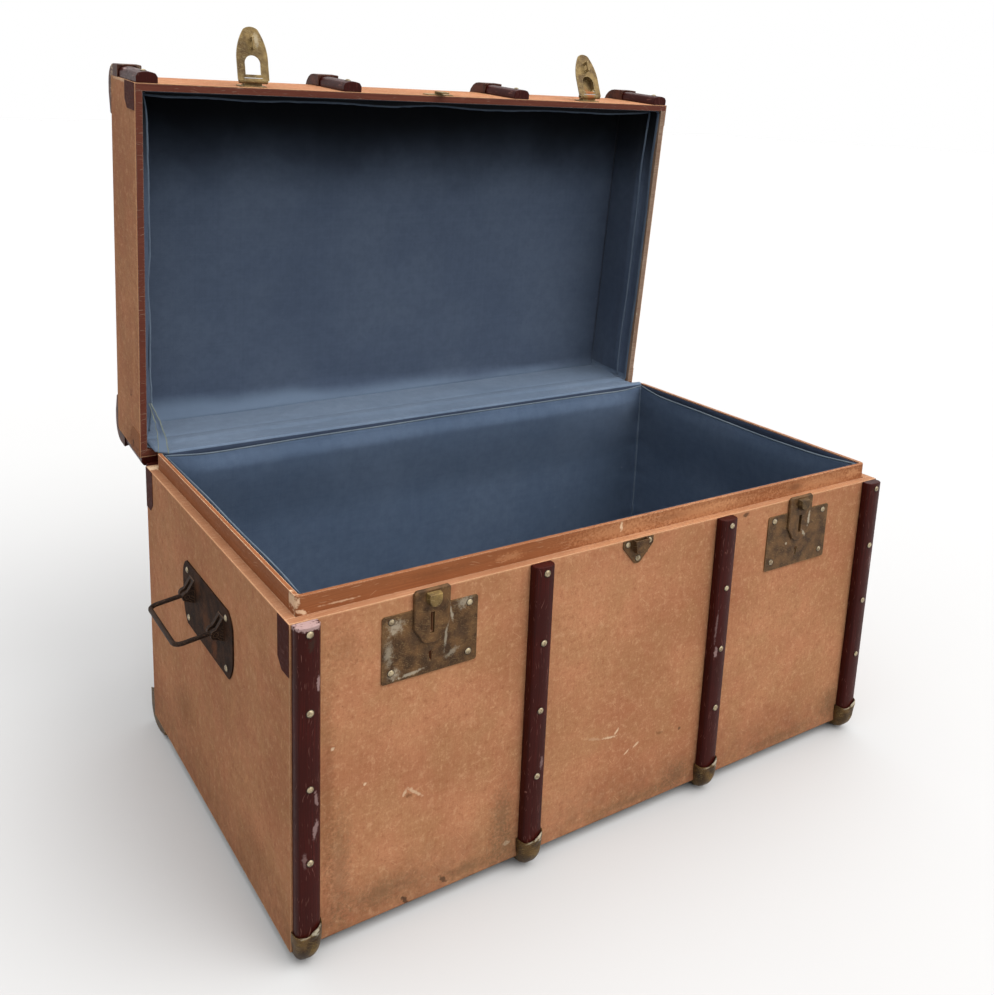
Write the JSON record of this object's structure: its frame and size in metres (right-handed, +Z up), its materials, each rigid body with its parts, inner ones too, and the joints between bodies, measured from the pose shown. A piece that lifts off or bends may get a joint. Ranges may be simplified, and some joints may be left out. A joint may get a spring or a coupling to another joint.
{
  "type": "travel trunk",
  "caption": "Flat-topped travel trunk, open: canvas-covered box and lid with wooden slats, metal shoes, a wooden lip, hasp locks and swinging end handles",
  "frame": {"origin": "middle of the bounding box's underside, on the floor", "axes": "x along the front, y towards the back, z up"},
  "size_m": [0.9758, 0.6946, 0.9933],
  "materials": {
    "canvas": "painted canvas, warm tan, rubbed and stained",
    "board": "thin plain boards",
    "lip_wood": "reddish brown, edges rubbed pale",
    "lining_cloth": "blue-grey lining cloth, creased",
    "slat_wood": "dark maroon varnish, scratched, pale at worn ends",
    "shoe_metal": "dark brown lacquered steel, rubbed",
    "lock_metal": "dull olive-brown, pitted",
    "nose_brass": "dull yellow, rubbed",
    "nail_heads": "pale worn heads with dark rims",
    "patch_fibre": "dark maroon, rubbed",
    "handle_iron": "dark iron, worn",
    "hinge_iron": "dark iron",
    "pin_steel": "dull"
  },
  "bodies": {
    "box": {"body_back_shoes": "shoe_metal", "body_back_slats": "slat_wood", "body_bottom_battens": "slat_wood", "body_canvas": "canvas", "body_corner_patches": "patch_fibre", "body_front_shoe_1": "shoe_metal", "body_front_shoe_2": "shoe_metal", "body_front_shoe_3": "shoe_metal", "body_front_shoe_4": "shoe_metal", "body_front_slat_1": "slat_wood", "body_front_slat_2": "slat_wood", "body_front_slat_3": "slat_wood", "body_front_slat_4": "slat_wood", "body_left_end_board": "board", "body_lining": "lining_cloth", "body_nails": "nail_heads", "body_right_end_board": "board", "body_wrap_board": "board", "catch_cup": "lock_metal", "handle_nails": "nail_heads", "hinge_body_leaves": "hinge_iron", "hinge_pins": "hinge_iron", "left_handle_eyes": "handle_iron", "left_handle_plate": "handle_iron", "left_lock_case": "lock_metal", "left_lock_nose": "nose_brass", "left_lock_plate": "lock_metal", "lip_back": "lip_wood", "lip_front": "lip_wood", "lip_left": "lip_wood", "lip_right": "lip_wood", "lock_nails": "nail_heads", "right_handle_eyes": "handle_iron", "right_handle_plate": "handle_iron", "right_lock_case": "lock_metal", "right_lock_nose": "nose_brass", "right_lock_plate": "lock_metal"},
    "lid": {"hasp_pins": "pin_steel", "hinge_lid_leaves": "hinge_iron", "left_hasp_plate": "lock_metal", "lid_back_shoes": "shoe_metal", "lid_back_slats": "slat_wood", "lid_canvas": "canvas", "lid_corner_patches": "patch_fibre", "lid_front_shoes": "shoe_metal", "lid_front_slats": "slat_wood", "lid_left_end_board": "board", "lid_lining": "lining_cloth", "lid_nails": "nail_heads", "lid_pin_plate": "lock_metal", "lid_right_end_board": "board", "lid_top_slats": "slat_wood", "lid_wrap_board": "board", "right_hasp_plate": "lock_metal"},
    "left_hasp_body": {"left_hasp": "lock_metal"},
    "right_hasp_body": {"right_hasp": "lock_metal"},
    "left_bail_body": {"left_bail": "handle_iron"},
    "right_bail_body": {"right_bail": "handle_iron"}
  },
  "joints": [
    {"name": "lid_hinge", "type": "hinge", "parent": "box", "child": "lid", "pos_m": [0.02056, 0.20061, 0.3821], "axis": [1, 0, 0], "range_deg": [0, 85.4]},
    {"name": "left_hasp_hinge", "type": "hinge", "parent": "lid", "child": "left_hasp_body", "pos_m": [-0.26844, 0.18366, 0.92193], "axis": [1, 0, 0], "range_deg": [0, 105]},
    {"name": "right_hasp_hinge", "type": "hinge", "parent": "lid", "child": "right_hasp_body", "pos_m": [0.30956, 0.18366, 0.92193], "axis": [1, 0, 0], "range_deg": [0, 117]},
    {"name": "left_bail_hinge", "type": "hinge", "parent": "box", "child": "left_bail_body", "pos_m": [-0.44044, -0.07524, 0.2966], "axis": [0, 1, 0], "range_deg": [-80.2, 22.8]},
    {"name": "right_bail_hinge", "type": "hinge", "parent": "box", "child": "right_bail_body", "pos_m": [0.48156, -0.07524, 0.2966], "axis": [0, 1, 0], "range_deg": [-103, 0]}
  ]
}
